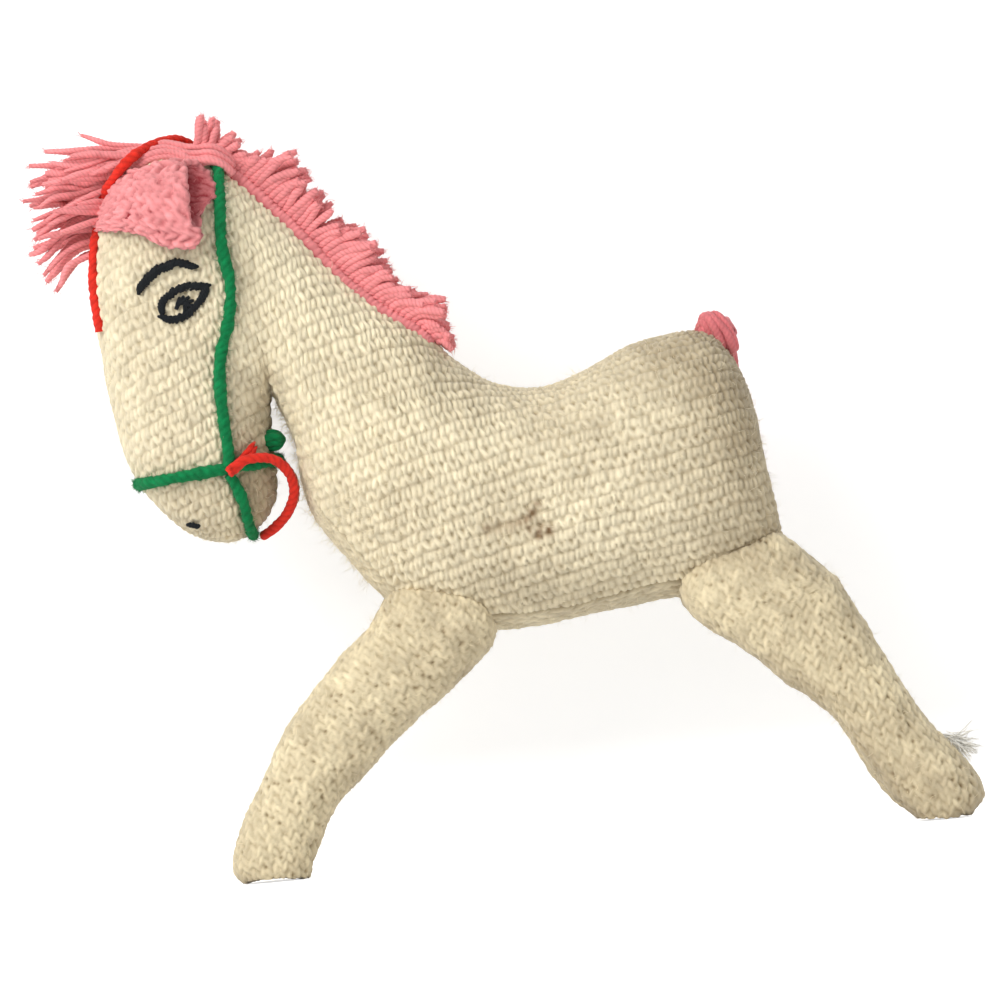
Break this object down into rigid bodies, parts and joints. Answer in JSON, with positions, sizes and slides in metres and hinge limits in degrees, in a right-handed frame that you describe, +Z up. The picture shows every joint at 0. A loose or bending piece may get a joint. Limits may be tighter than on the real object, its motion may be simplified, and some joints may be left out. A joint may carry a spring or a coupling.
{
  "type": "stuffed toy horse",
  "caption": "Crocheted stuffed horse standing on splayed legs, with yarn mane, forelock, floppy ears, tail and a yarn bridle; legs, head, ears and tail move.",
  "frame": {"origin": "on the floor, in the middle of the toy's length and width, cord loop left out", "axes": "+X from the head to the rump, +Y to the toy's right side, +Z up"},
  "size_m": [0.3793, 0.0912, 0.3214],
  "materials": {
    "cream_yarn": "single-crochet cream yarn, matt and slightly fuzzy",
    "stuffing": "loose polyester fibre, hidden",
    "pink_yarn": "plied pink yarn, matt",
    "green_yarn": "dark green crochet cord, matt",
    "red_yarn": "red crochet cord, matt",
    "white_yarn": "frayed off-white yarn, matt"
  },
  "bodies": {
    "trunk": {"trunk_panel_left": "cream_yarn", "trunk_panel_right": "cream_yarn", "trunk_gusset": "cream_yarn", "trunk_stuffing": "stuffing", "neck_panel_left": "cream_yarn", "neck_panel_right": "cream_yarn", "neck_gusset": "cream_yarn", "neck_stuffing": "stuffing", "mane": "pink_yarn"},
    "head": {"cheek_panel_left": "cream_yarn", "cheek_panel_right": "cream_yarn", "head_stuffing": "stuffing", "forelock": "pink_yarn", "cheek_straps": "green_yarn", "noseband": "green_yarn", "mouth_strap": "green_yarn", "face_strap": "red_yarn", "rein": "red_yarn", "throat_knot": "green_yarn"},
    "ear_left": {"ear_left": "pink_yarn"},
    "ear_right": {"ear_right": "pink_yarn"},
    "tail": {"tail": "pink_yarn"},
    "foreleg_left": {"foreleg_left_skin": "cream_yarn", "foreleg_left_stuffing": "stuffing"},
    "foreleg_right": {"foreleg_right_skin": "cream_yarn", "foreleg_right_stuffing": "stuffing"},
    "hindleg_left": {"hindleg_left_skin": "cream_yarn", "hindleg_left_stuffing": "stuffing", "fetlock_fray": "white_yarn"},
    "hindleg_right": {"hindleg_right_skin": "cream_yarn", "hindleg_right_stuffing": "stuffing"}
  },
  "joints": [
    {"name": "head_nod", "type": "hinge", "parent": "trunk", "child": "head", "pos_m": [-0.12797, 0, 0.25], "axis": [0, 1, 0], "range_deg": [0, 12], "stiffness_Nm_per_rad": 0.6, "deforming": ["mane"]},
    {"name": "ear_left_lift", "type": "hinge", "parent": "head", "child": "ear_left", "pos_m": [-0.11579, -0.0117, 0.30799], "axis": [-1, 0, 0], "range_deg": [0, 60], "stiffness_Nm_per_rad": 0.01},
    {"name": "ear_right_lift", "type": "hinge", "parent": "head", "child": "ear_right", "pos_m": [-0.11579, 0.0117, 0.30799], "axis": [1, 0, 0], "range_deg": [0, 60], "stiffness_Nm_per_rad": 0.01},
    {"name": "tail_swing", "type": "hinge", "parent": "trunk", "child": "tail", "pos_m": [0.10012, 0, 0.21298], "axis": [1, 0, 0], "range_deg": [0, 70]},
    {"name": "foreleg_left_swing", "type": "hinge", "parent": "trunk", "child": "foreleg_left", "pos_m": [-0.03099, -0.02, 0.09755], "axis": [0, 1, 0], "range_deg": [-15, 15], "stiffness_Nm_per_rad": 3, "springref_deg": -0.97},
    {"name": "foreleg_right_swing", "type": "hinge", "parent": "trunk", "child": "foreleg_right", "pos_m": [-0.03099, 0.02, 0.09755], "axis": [0, 1, 0], "range_deg": [-15, 15], "stiffness_Nm_per_rad": 3, "springref_deg": -0.97},
    {"name": "hindleg_left_swing", "type": "hinge", "parent": "trunk", "child": "hindleg_left", "pos_m": [0.10507, -0.02, 0.1], "axis": [0, 1, 0], "range_deg": [-15, 15], "stiffness_Nm_per_rad": 3, "springref_deg": 0.4},
    {"name": "hindleg_right_swing", "type": "hinge", "parent": "trunk", "child": "hindleg_right", "pos_m": [0.10507, 0.02, 0.1], "axis": [0, 1, 0], "range_deg": [-15, 15], "stiffness_Nm_per_rad": 3, "springref_deg": 0.4}
  ]
}
